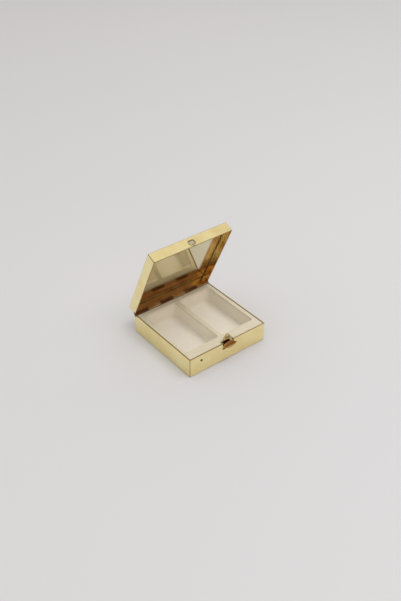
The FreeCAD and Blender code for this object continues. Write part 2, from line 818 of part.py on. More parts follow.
def make_mirror_layer(label, rise, thickness, inset):
    """Flat plate of the mirror stack, a stated inset from the mirror's edge."""
    body = new_body(label)
    outline = new_sketch(body, label + "_outline", "XY_Plane", rise)
    add_box_outline(
        outline,
        "-mirror_half_width + " + inset,
        "mirror_half_width - " + inset,
        "-mirror_half_depth + " + inset,
        "mirror_half_depth - " + inset,
    )
    plate = add_feature(body, "Pad", label + "_plate", outline, thickness)
    open_with_lid(body)
    return body, plate


def make_mirror_glass():
    """Glass plate with a ground arris round its front edge."""
    body, plate = make_mirror_layer("mirror_glass", "glass_front", "glass_thickness", "0")
    front_level = size("glass_front")
    bevel_edges(
        body,
        "mirror_glass_arris",
        "glass_arris",
        plate,
        lambda edge: lies_at(edge, front_level),
    )
    return body


def make_mirror_silvering():
    """Reflecting coat and backing paint on the glass."""
    return make_mirror_layer("mirror_silvering", "glass_back", "silver_thickness", "0")[0]


def make_mirror_adhesive():
    """Pad that bonds the mirror to the lid."""
    return make_mirror_layer(
        "mirror_adhesive",
        "glass_back + silver_thickness",
        "adhesive_thickness",
        "adhesive_inset",
    )[0]


def check_and_export(bodies):
    """Stop on a broken object, then write one file for each piece."""
    document.recompute()
    for thing in document.Objects:
        if "Invalid" in thing.State or "Error" in thing.State:
            raise ValueError(thing.Label + " is broken")
    os.makedirs("parts", exist_ok=True)
    for body in bodies:
        shape = body.Shape
        if shape.isNull() or not shape.isValid() or len(shape.Solids) != 1:
            raise ValueError(body.Label + " is not one sound solid")
        shape.exportStep("parts/" + body.Label + ".step")
        print(body.Label, round(shape.Volume, 3))


fill_sheet()
check_and_export(
    [
        make_base_shell(),
        make_compartment_tray(),
        make_base_hinge_leaf(),
        make_hinge_pin(),
        make_latch_rivet(),
        make_latch_spring(),
        make_catch_tongue(),
        make_thumb_button(),
        make_lid_shell(),
        make_lid_hinge_leaf(),
        make_mirror_glass(),
        make_mirror_silvering(),
        make_mirror_adhesive(),
    ]
)
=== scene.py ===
"""Looks of a square hinged pill box: brass case, moulded tray, mirror lid and sprung catch.

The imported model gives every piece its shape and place, in metres, with the front edge
along X, the hinge towards +Y and the underside at z = 0.
"""

import json
import logging
import math
from dataclasses import dataclass
from enum import Enum
from typing import Any, Sequence

import bpy
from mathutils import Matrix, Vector


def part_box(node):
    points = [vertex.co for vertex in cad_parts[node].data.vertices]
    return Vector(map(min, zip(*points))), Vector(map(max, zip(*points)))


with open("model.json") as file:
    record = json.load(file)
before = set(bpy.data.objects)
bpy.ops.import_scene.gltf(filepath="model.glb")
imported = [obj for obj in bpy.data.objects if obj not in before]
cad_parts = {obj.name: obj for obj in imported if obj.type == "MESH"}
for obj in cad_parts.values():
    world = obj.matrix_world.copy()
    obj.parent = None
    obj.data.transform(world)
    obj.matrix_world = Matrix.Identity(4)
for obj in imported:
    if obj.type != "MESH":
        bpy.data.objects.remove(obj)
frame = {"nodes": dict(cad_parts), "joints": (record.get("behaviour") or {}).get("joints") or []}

LOG = logging.getLogger("pill_box")
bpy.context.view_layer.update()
MM = 0.001
EDGE_SAMPLES = 8
SOFT_SAMPLES = 6
# samples of the ambient occlusion that paints shade into creases and corners
SHADE_SAMPLES = 6
# sockets of a node that mixes two colours: both inputs and the result
COLOUR_FROM, COLOUR_TO, COLOUR_MIXED = 6, 7, 2
# inputs of a node that mixes two numbers
NUMBER_FROM, NUMBER_TO = 2, 3


def linear_colour(code: str) -> tuple[float, float, float, float]:
    """Turn an sRGB hex colour into linear light.

    Args:
        code: six hex digits, with or without a leading #.

    Returns:
        Red, green, blue and an alpha of 1.
    """
    digits = code.lstrip("#")
    parts = []
    for start in (0, 2, 4):
        value = int(digits[start : start + 2], 16) / 255
        parts.append(value / 12.92 if value <= 0.04045 else ((value + 0.055) / 1.055) ** 2.4)
    return (parts[0], parts[1], parts[2], 1.0)


def add_node(
    tree: bpy.types.NodeTree,
    kind: str,
    settings: dict[str, Any] | None = None,
    inputs: dict[Any, Any] | None = None,
) -> bpy.types.Node:
    """Add one node with its settings, fixed values and links.

    Args:
        tree: node tree that takes the node.
        kind: Blender's identifier of the node type.
        settings: attributes of the node.
        inputs: socket name or number to a fixed value or to an output socket.

    Returns:
        The new node.
    """
    node = tree.nodes.new(kind)
    for name, value in (settings or {}).items():
        setattr(node, name, value)
    for name, value in (inputs or {}).items():
        if isinstance(value, bpy.types.NodeSocket):
            tree.links.new(value, node.inputs[name])
        else:
            node.inputs[name].default_value = value
    return node


def blank_material(name: str) -> tuple[bpy.types.Material, bpy.types.NodeTree]:
    """Make an empty node material.

    Args:
        name: what the real material is and how it was made.

    Returns:
        The material and its node tree.
    """
    material = bpy.data.materials.new(name)
    material.use_nodes = True
    material.node_tree.nodes.clear()
    return material, material.node_tree


class Turn(Enum):
    """How a piece lies at rest, so that its grain follows its own walls."""

    LEVEL = 0.0
    OPEN_LID = -math.radians(frame["joints"][0]["range_deg"][0])


class Wall(Enum):
    """Material slots of a shell of the case."""

    OUTSIDE = 0
    CUT_EDGE = 1
    INSIDE = 2


class Layer(Enum):
    """Material slots of the mirror's pane."""

    CLEAR = 0
    SILVERED = 1
    GROUND = 2


@dataclass(frozen=True)
class Pattern:
    """One scale of relief: how wide one mark is, and how deep."""

    across_mm: float
    depth_mm: float


@dataclass(frozen=True)
class BrassFinish:
    """Brass sheet or strip with a grain, drawing marks, wiping clouds, worn edges, painted dark
    edge lines and painted shade in its creases.

    Real brushing is about 0.05 mm wide. The grain is drawn up to about three times
    coarser, so that it still shows with the whole box in view.
    """

    name: str
    clean: str
    deep: str
    # colour of the darkening: worn edges, painted dark edge lines and painted shade in the
    # creases
    edge: str
    roughness: float
    roughness_spread: float
    grain: Pattern
    marks: Pattern
    wave: Pattern
    mark_tone: float
    edge_mm: float
    # reach and strength of the painted shade in the creases
    crease_shade_mm: float
    crease_shade_share: float
    rounding_share: float
    soft_mm: float
    turn: Turn
    lacquer: float = 0.0
    lacquer_roughness: float = 0.12
    lacquer_ior: float = 1.48
    cloud_mm: float = 8.0
    grain_ratio: float = 60
    mark_ratio: float = 25
    # sideways normal at which a wall counts as a side wall
    side_wall: tuple[float, float] = (0.6, 0.8)
    # middle part of a noise, spread over the whole range of what it drives
    noise_middle: tuple[float, float] = (0.25, 0.75)
    haze_middle: tuple[float, float] = (0.7, 1.3)
    # likeness of a rounded normal to the true one: where the darkening of worn edges and painted
    # dark edge lines starts, and is full
    edge_likeness: tuple[float, float] = (0.998, 0.88)
    edge_share: float = 0.9
    rounding_likeness: tuple[float, float] = (0.985, 0.90)
    # ambient occlusion at which the painted crease shade starts, and is full
    crease_shade_openness: tuple[float, float] = (0.7, 0.3)
    # round a hole the darkening reaches further out: a dark ring painted in for the hole's shade
    hole_at: Vector | None = None
    hole_reach_mm: tuple[float, float] = (1.84, 2.3)
    hole_edge_mm: float = 0.9
    hole_likeness: tuple[float, float] = (0.998, 0.96)

    def stretched_marks(
        self,
        tree: bpy.types.NodeTree,
        place: bpy.types.NodeSocket,
        across_mm: float,
        ratio: float,
    ) -> bpy.types.NodeSocket:
        """Draw marks along the longer way of each wall.

        Args:
            tree: node tree that takes the nodes.
            place: position in the piece's own directions.
            across_mm: width of one mark.
            ratio: length of a mark over its width.

        Returns:
            The strength of the marks, 0 to 1.
        """
        along = 1 / (ratio * across_mm * MM)
        across = 1 / (across_mm * MM)
        layers = []
        for stretch in ((along, across, across), (across, along, across)):
            scaled = add_node(
                tree, "ShaderNodeMapping", inputs={"Vector": place, "Scale": stretch}
            )
            layers.append(
                add_node(
                    tree,
                    "ShaderNodeTexNoise",
                    inputs={"Vector": scaled.outputs[0], "Scale": 1.0, "Detail": 3.0},
                )
            )
        surface = add_node(tree, "ShaderNodeTexCoord")
        facing = add_node(
            tree, "ShaderNodeSeparateXYZ", inputs={"Vector": surface.outputs["Normal"]}
        )
        sideways = add_node(
            tree, "ShaderNodeMath", {"operation": "ABSOLUTE"}, {0: facing.outputs["X"]}
        )
        on_side_wall = add_node(
            tree,
            "ShaderNodeMapRange",
            inputs={
                "Value": sideways.outputs[0],
                "From Min": self.side_wall[0],
                "From Max": self.side_wall[1],
            },
        )
        chosen = add_node(
            tree,
            "ShaderNodeMix",
            {"data_type": "FLOAT"},
            {
                "Factor": on_side_wall.outputs[0],
                NUMBER_FROM: layers[0].outputs[0],
                NUMBER_TO: layers[1].outputs[0],
            },
        )
        return chosen.outputs[0]

    def edge_reach(self, tree: bpy.types.NodeTree) -> float | bpy.types.NodeSocket:
        """Tell how far the darkening reaches from an edge: further round a hole, as a painted
        dark ring for its shade.

        Args:
            tree: node tree that takes the nodes.

        Returns:
            The reach in metres.
        """
        if self.hole_at is None:
            return self.edge_mm * MM
        place = add_node(tree, "ShaderNodeTexCoord")
        away = add_node(
            tree,
            "ShaderNodeVectorMath",
            {"operation": "DISTANCE"},
            {0: place.outputs["Object"], 1: self.hole_at},
        )
        reach = add_node(
            tree,
            "ShaderNodeMapRange",
            inputs={
                "Value": away.outputs["Value"],
                "From Min": self.hole_reach_mm[0] * MM,
                "From Max": self.hole_reach_mm[1] * MM,
                "To Min": self.hole_edge_mm * MM,
                "To Max": self.edge_mm * MM,
            },
        )
        return reach.outputs[0]

    def worn_and_shaded_edges(self, tree: bpy.types.NodeTree) -> bpy.types.NodeSocket:
        """Darken the sharp edges: wear where lacquer and gilding wear through first, and painted
        dark lines of shade and reflection along them.

        Args:
            tree: node tree that takes the nodes.

        Returns:
            The strength of the browning, 0 to 1.
        """
        rounded = add_node(
            tree,
            "ShaderNodeBevel",
            {"samples": EDGE_SAMPLES},
            {"Radius": self.edge_reach(tree)},
        )
        surface = add_node(tree, "ShaderNodeNewGeometry")
        likeness = add_node(
            tree,
            "ShaderNodeVectorMath",
            {"operation": "DOT_PRODUCT"},
            {0: rounded.outputs[0], 1: surface.outputs["Normal"]},
        )
        ends = self.edge_likeness if self.hole_at is None else self.hole_likeness
        worn = add_node(
            tree,
            "ShaderNodeMapRange",
            inputs={
                "Value": likeness.outputs["Value"],
                "From Min": ends[0],
                "From Max": ends[1],
                "To Max": self.edge_share,
            },
        )
        return worn.outputs[0]

    def worn_and_shaded_roundings(self, tree: bpy.types.NodeTree) -> bpy.types.NodeSocket:
        """Darken the rounded edges, whose normal lies along no way of the piece: wear, and a
        painted dark reflection line along them.

        Args:
            tree: node tree that takes the nodes.

        Returns:
            The strength of the browning, 0 to 1.
        """
        surface = add_node(tree, "ShaderNodeTexCoord")
        level = add_node(
            tree,
            "ShaderNodeMapping",
            inputs={"Vector": surface.outputs["Normal"], "Rotation": (self.turn.value, 0, 0)},
        )
        plain = add_node(
            tree, "ShaderNodeVectorMath", {"operation": "ABSOLUTE"}, {0: level.outputs[0]}
        )
        ways = add_node(tree, "ShaderNodeSeparateXYZ", inputs={"Vector": plain.outputs[0]})
        level_most = add_node(
            tree,
            "ShaderNodeMath",
            {"operation": "MAXIMUM"},
            {0: ways.outputs["X"], 1: ways.outputs["Y"]},
        )
        most = add_node(
            tree,
            "ShaderNodeMath",
            {"operation": "MAXIMUM"},
            {0: level_most.outputs[0], 1: ways.outputs["Z"]},
        )
        worn = add_node(
            tree,
            "ShaderNodeMapRange",
            inputs={
                "Value": most.outputs[0],
                "From Min": self.rounding_likeness[0],
                "From Max": self.rounding_likeness[1],
                "To Max": self.rounding_share,
            },
        )
        return worn.outputs[0]

    def darkening(self, tree: bpy.types.NodeTree) -> bpy.types.NodeSocket:
        """Darken edges and roundings, and paint shade into the creases.

        Args:
            tree: node tree that takes the nodes.

        Returns:
            The strength of the browning, 0 to 1.
        """
        # painted shade: ambient occlusion darkens the creases, where shade falls
        crease = add_node(
            tree,
            "ShaderNodeAmbientOcclusion",
            {"samples": SHADE_SAMPLES},
            {"Distance": self.crease_shade_mm * MM},
        )
        crease_shade = add_node(
            tree,
            "ShaderNodeMapRange",
            inputs={
                "Value": crease.outputs["AO"],
                "From Min": self.crease_shade_openness[0],
                "From Max": self.crease_shade_openness[1],
                "To Max": self.crease_shade_share,
            },
        )
        edges = add_node(
            tree,
            "ShaderNodeMath",
            {"operation": "MAXIMUM"},
            {0: self.worn_and_shaded_edges(tree), 1: self.worn_and_shaded_roundings(tree)},
        )
        anywhere = add_node(
            tree,
            "ShaderNodeMath",
            {"operation": "MAXIMUM"},
            {0: edges.outputs[0], 1: crease_shade.outputs[0]},
        )
        return anywhere.outputs[0]

    def colouring(
        self,
        tree: bpy.types.NodeTree,
        marks: bpy.types.NodeSocket,
        cloud: bpy.types.NodeSocket,
    ) -> bpy.types.NodeSocket:
        """Mix the clean and the deep tone by marks and clouds, and darken it by wear and painted
        shade.

        Args:
            tree: node tree that takes the nodes.
            marks: strength of the drawing marks.
            cloud: strength of the wiping clouds.

        Returns:
            The colour.
        """
        streaked = add_node(
            tree,
            "ShaderNodeMath",
            {"operation": "MULTIPLY_ADD"},
            {0: marks, 1: self.mark_tone, 2: cloud},
        )
        middle = 0.5 * self.mark_tone
        patch = add_node(
            tree,
            "ShaderNodeMapRange",
            inputs={
                "Value": streaked.outputs[0],
                "From Min": self.noise_middle[0] + middle,
                "From Max": self.noise_middle[1] + middle,
            },
        )
        tone = add_node(
            tree,
            "ShaderNodeMix",
            {"data_type": "RGBA"},
            {
                "Factor": patch.outputs[0],
                COLOUR_FROM: linear_colour(self.clean),
                COLOUR_TO: linear_colour(self.deep),
            },
        )
        # darken the tone by wear, painted dark edge lines and painted crease shade
        darkened = add_node(
            tree,
            "ShaderNodeMix",
            {"data_type": "RGBA"},
            {
                "Factor": self.darkening(tree),
                COLOUR_FROM: tone.outputs[COLOUR_MIXED],
                COLOUR_TO: linear_colour(self.edge),
            },
        )
        return darkened.outputs[COLOUR_MIXED]

    def relief(
        self,
        tree: bpy.types.NodeTree,
        place: bpy.types.NodeSocket,
        grain: bpy.types.NodeSocket,
        marks: bpy.types.NodeSocket,
    ) -> bpy.types.NodeSocket:
        """Soften the edges and lay waves, marks and grain over each other.

        Args:
            tree: node tree that takes the nodes.
            place: position in the piece's own directions.
            grain: strength of the brushed grain.
            marks: strength of the drawing marks.

        Returns:
            The surface normal.
        """
        soft = add_node(
            tree, "ShaderNodeBevel", {"samples": SOFT_SAMPLES}, {"Radius": self.soft_mm * MM}
        )
        # pressed sheet is never quite flat, so reflections wander a little
        wave = add_node(
            tree,
            "ShaderNodeTexNoise",
            inputs={
                "Vector": place,
                "Scale": 1 / (self.wave.across_mm * MM),
                "Detail": 1.0,
            },
        )
        normal = soft.outputs[0]
        for height, pattern in (
            (wave.outputs[0], self.wave),
            (marks, self.marks),
            (grain, self.grain),
        ):
            raised = add_node(
                tree,
                "ShaderNodeBump",
                inputs={
                    "Height": height,
                    "Distance": pattern.depth_mm * MM,
                    "Normal": normal,
                },
            )
            normal = raised.outputs[0]
        return normal

    def build(self) -> bpy.types.Material:
        """Build the node material.

        Returns:
            The finished material.
        """
        material, tree = blank_material(self.name)
        own = add_node(tree, "ShaderNodeTexCoord")
        level = add_node(
            tree,
            "ShaderNodeMapping",
            inputs={"Vector": own.outputs["Object"], "Rotation": (self.turn.value, 0, 0)},
        )
        place = level.outputs[0]
        grain = self.stretched_marks(tree, place, self.grain.across_mm, self.grain_ratio)
        marks = self.stretched_marks(tree, place, self.marks.across_mm, self.mark_ratio)
        # faint clouds a few millimetres wide, left by lacquer and wiping
        cloud = add_node(
            tree,
            "ShaderNodeTexNoise",
            inputs={"Vector": place, "Scale": 1 / (self.cloud_mm * MM), "Detail": 5.0},
        )
        hazy = add_node(
            tree, "ShaderNodeMath", {"operation": "ADD"}, {0: grain, 1: cloud.outputs[0]}
        )
        rough = add_node(
            tree,
            "ShaderNodeMapRange",
            inputs={
                "Value": hazy.outputs[0],
                "From Min": self.haze_middle[0],
                "From Max": self.haze_middle[1],
                "To Min": self.roughness - self.roughness_spread,
                "To Max": self.roughness + self.roughness_spread,
            },
        )
        shader = add_node(
            tree,
            "ShaderNodeBsdfPrincipled",
            inputs={
                "Base Color": self.colouring(tree, marks, cloud.outputs[0]),
                "Metallic": 1.0,
                "Roughness": rough.outputs[0],
                "Normal": self.relief(tree, place, grain, marks),
                "Coat Weight": self.lacquer,
                "Coat Roughness": self.lacquer_roughness,
                "Coat IOR": self.lacquer_ior,
            },
        )
        add_node(tree, "ShaderNodeOutputMaterial", inputs={"Surface": shader.outputs[0]})
        return material


@dataclass(frozen=True)
class MouldedPlastic:
    """Moulded polystyrene: creamy, slightly translucent, with a fine mould texture."""

    top: float
    name: str = "Moulded ivory polystyrene"
    body_tone: str = "#F0EADC"
    shade_tone: str = "#E0D6C0"
    top_band_tone: str = "#D8CFB6"
    roughness: float = 0.42
    roughness_spread: float = 0.06
    ior: float = 1.59
    flow_mm: float = 9.0
    flow_share: float = 0.3
    texture: Pattern = Pattern(0.35, 0.006)
    # reach and strength of the dust and painted shade in the inner corners
    dust_and_shade_mm: float = 0.8
    dust_and_shade_share: float = 0.4
    top_band_mm: float = 2.0
    top_band_share: float = 0.85
    noise_middle: tuple[float, float] = (0.3, 0.7)
    corner_openness: tuple[float, float] = (0.3, 0.7)
    glow_share: float = 0.35
    glow_mm: tuple[float, float, float] = (2.2, 2.0, 1.5)

    def build(self) -> bpy.types.Material:
        """Build the node material.

        Returns:
            The finished material.
        """
        material, tree = blank_material(self.name)
        place = add_node(tree, "ShaderNodeTexCoord")
        flow = add_node(
            tree,
            "ShaderNodeTexNoise",
            inputs={
                "Vector": place.outputs["Object"],
                "Scale": 1 / (self.flow_mm * MM),
                "Detail": 3.0,
            },
        )
        fine = add_node(
            tree,
            "ShaderNodeTexNoise",
            inputs={
                "Vector": place.outputs["Object"],
                "Scale": 1 / (self.texture.across_mm * MM),
                "Detail": 5.0,
            },
        )
        # dust and painted shade in the inner corners: ambient occlusion darkens them
        corner = add_node(
            tree,
            "ShaderNodeAmbientOcclusion",
            {"samples": SHADE_SAMPLES},
            {"Distance": self.dust_and_shade_mm * MM},
        )
        dust_and_shade = add_node(
            tree,
            "ShaderNodeMapRange",
            inputs={
                "Value": corner.outputs["AO"],
                "From Min": self.corner_openness[0],
                "From Max": self.corner_openness[1],
                "To Min": self.dust_and_shade_share,
                "To Max": 0.0,
            },
        )
        shade = add_node(
            tree,
            "ShaderNodeMath",
            {"operation": "MULTIPLY_ADD"},
            {0: flow.outputs[0], 1: self.flow_share, 2: dust_and_shade.outputs[0]},
        )
        tone = add_node(
            tree,
            "ShaderNodeMix",
            {"data_type": "RGBA"},
            {
                "Factor": shade.outputs[0],
                COLOUR_FROM: linear_colour(self.body_tone),
                COLOUR_TO: linear_colour(self.shade_tone),
            },
        )
        # darker and yellower towards the top
        height = add_node(
            tree, "ShaderNodeSeparateXYZ", inputs={"Vector": place.outputs["Object"]}
        )
        top_band = add_node(
            tree,
            "ShaderNodeMapRange",
            {"interpolation_type": "SMOOTHSTEP"},
            {
                "Value": height.outputs["Z"],
                "From Min": self.top - self.top_band_mm * MM,
                "From Max": self.top,
                "To Max": self.top_band_share,
            },
        )
        final = add_node(
            tree,
            "ShaderNodeMix",
            {"data_type": "RGBA"},
            {
                "Factor": top_band.outputs[0],
                COLOUR_FROM: tone.outputs[COLOUR_MIXED],
                COLOUR_TO: linear_colour(self.top_band_tone),
            },
        )
        rough = add_node(
            tree,
            "ShaderNodeMapRange",
            inputs={
                "Value": flow.outputs[0],
                "From Min": self.noise_middle[0],
                "From Max": self.noise_middle[1],
                "To Min": self.roughness - self.roughness_spread,
                "To Max": self.roughness + self.roughness_spread,
            },
        )
        bump = add_node(
            tree,
            "ShaderNodeBump",
            inputs={"Height": fine.outputs[0], "Distance": self.texture.depth_mm * MM},
        )
        shader = add_node(
            tree,
            "ShaderNodeBsdfPrincipled",
            inputs={
                "Base Color": final.outputs[COLOUR_MIXED],
                "Roughness": rough.outputs[0],
                "IOR": self.ior,
                "Subsurface Weight": self.glow_share,
                "Subsurface Radius": tuple(reach * MM for reach in self.glow_mm),
                "Subsurface Scale": 1.0,
                "Normal": bump.outputs[0],
            },
        )
        add_node(tree, "ShaderNodeOutputMaterial", inputs={"Surface": shader.outputs[0]})
        return material


@dataclass(frozen=True)
class FloatGlass:
    """Polished float glass: clear, with a faint green, and a thin film of wiping marks."""

    name: str = "Polished float glass"
    tint: str = "#F3FAF5"
    ior: float = 1.52
    film_mm: float = 6.0
    film_noise: tuple[float, float] = (0.4, 0.75)
    film_roughness: float = 0.015

    def build(self) -> bpy.types.Material:
        """Build the node material.

        Returns:
            The finished material.
        """
        material, tree = blank_material(self.name)
        place = add_node(tree, "ShaderNodeTexCoord")
        film = add_node(
            tree,
            "ShaderNodeTexNoise",
            inputs={
                "Vector": place.outputs["Object"],
                "Scale": 1 / (self.film_mm * MM),
                "Detail": 4.0,
            },
        )
        rough = add_node(
            tree,
            "ShaderNodeMapRange",
            inputs={
                "Value": film.outputs[0],
                "From Min": self.film_noise[0],
                "From Max": self.film_noise[1],
                "To Min": 0.0,
                "To Max": self.film_roughness,
            },
        )
        shader = add_node(
            tree,
            "ShaderNodeBsdfPrincipled",
            inputs={
                "Base Color": linear_colour(self.tint),
                "Roughness": rough.outputs[0],
                "IOR": self.ior,
                "Transmission Weight": 1.0,
            },
        )
        add_node(tree, "ShaderNodeOutputMaterial", inputs={"Surface": shader.outputs[0]})
        return material


@dataclass(frozen=True)
class GroundGlass:
    """Ground edge of the pane: frosted and pale, lit from within."""

    name: str = "Ground glass edge"
    frost: str = "#D9D2B4"
    pit: str = "#B9AE8A"
    roughness: float = 0.45
    ior: float = 1.52
    pits: Pattern = Pattern(0.1, 0.01)

    def build(self) -> bpy.types.Material:
        """Build the node material.

        Returns:
            The finished material.
        """
        material, tree = blank_material(self.name)
        place = add_node(tree, "ShaderNodeTexCoord")
        pits = add_node(
            tree,
            "ShaderNodeTexNoise",
            inputs={
                "Vector": place.outputs["Object"],
                "Scale": 1 / (self.pits.across_mm * MM),
                "Detail": 3.0,
            },
        )
        tone = add_node(
            tree,
            "ShaderNodeMix",
            {"data_type": "RGBA"},
            {
                "Factor": pits.outputs[0],
                COLOUR_FROM: linear_colour(self.frost),
                COLOUR_TO: linear_colour(self.pit),
            },
        )
        bump = add_node(
            tree,
            "ShaderNodeBump",
            inputs={"Height": pits.outputs[0], "Distance": self.pits.depth_mm * MM},
        )
        shader = add_node(
            tree,
            "ShaderNodeBsdfPrincipled",
            inputs={
                "Base Color": tone.outputs[COLOUR_MIXED],
                "Roughness": self.roughness,
                "IOR": self.ior,
                "Normal": bump.outputs[0],
            },
        )
        add_node(tree, "ShaderNodeOutputMaterial", inputs={"Surface": shader.outputs[0]})
        return material


@dataclass(frozen=True)
class SilverCoat:
    """Silvering laid on glass: a warm, even mirror with faint clouding."""

    name: str = "Chemically laid silvering"
    bright: str = "#F1E2C4"
    clouded: str = "#E9D8B2"
    roughness: float = 0.025
    cloud_mm: float = 5.0

    def build(self) -> bpy.types.Material:
        """Build the node material.

        Returns:
            The finished material.
        """
        material, tree = blank_material(self.name)
        place = add_node(tree, "ShaderNodeTexCoord")
        cloud = add_node(
            tree,
            "ShaderNodeTexNoise",
            inputs={
                "Vector": place.outputs["Object"],
                "Scale": 1 / (self.cloud_mm * MM),
                "Detail": 3.0,
            },
        )
        tone = add_node(
            tree,
            "ShaderNodeMix",
            {"data_type": "RGBA"},
            {
                "Factor": cloud.outputs[0],
                COLOUR_FROM: linear_colour(self.bright),
                COLOUR_TO: linear_colour(self.clouded),
            },
        )
        shader = add_node(
            tree,
            "ShaderNodeBsdfPrincipled",
            inputs={
                "Base Color": tone.outputs[COLOUR_MIXED],
                "Metallic": 1.0,
                "Roughness": self.roughness,
            },
        )
        add_node(tree, "ShaderNodeOutputMaterial", inputs={"Surface": shader.outputs[0]})
        return material


@dataclass(frozen=True)
class PressedAdhesive:
    """Pressed acrylic adhesive: matt, cloudy and cream."""

    name: str = "Pressed acrylic adhesive"
    light: str = "#D8D0BC"
    dark: str = "#BFB59C"
    roughness: float = 0.7
    ior: float = 1.47
    blobs: Pattern = Pattern(0.8, 0.02)

    def build(self) -> bpy.types.Material:
        """Build the node material.

        Returns:
            The finished material.
        """
        material, tree = blank_material(self.name)
        place = add_node(tree, "ShaderNodeTexCoord")
        blobs = add_node(
            tree,
            "ShaderNodeTexVoronoi",
            inputs={
                "Vector": place.outputs["Object"],
                "Scale": 1 / (self.blobs.across_mm * MM),
            },
        )
        tone = add_node(
            tree,
            "ShaderNodeMix",
            {"data_type": "RGBA"},
            {
                "Factor": blobs.outputs["Distance"],
                COLOUR_FROM: linear_colour(self.light),
                COLOUR_TO: linear_colour(self.dark),
            },
        )
        bump = add_node(
            tree,
            "ShaderNodeBump",
            inputs={
                "Height": blobs.outputs["Distance"],
                "Distance": self.blobs.depth_mm * MM,
            },
        )
        shader = add_node(
            tree,
            "ShaderNodeBsdfPrincipled",
            inputs={
                "Base Color": tone.outputs[COLOUR_MIXED],
                "Roughness": self.roughness,
                "IOR": self.ior,
                "Normal": bump.outputs[0],
            },
        )
        add_node(tree, "ShaderNodeOutputMaterial", inputs={"Surface": shader.outputs[0]})
        return material


def dress(node: str, *materials: bpy.types.Material) -> bpy.types.Object:
    """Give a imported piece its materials; the first one covers it.

    Args:
        node: name of the piece.
        materials: its finishes, in the order of their slots.

    Returns:
        The piece's object.
    """
    piece = frame["nodes"][node]
    piece.data.materials.clear()
    for material in materials:
        piece.data.materials.append(material)
    return piece


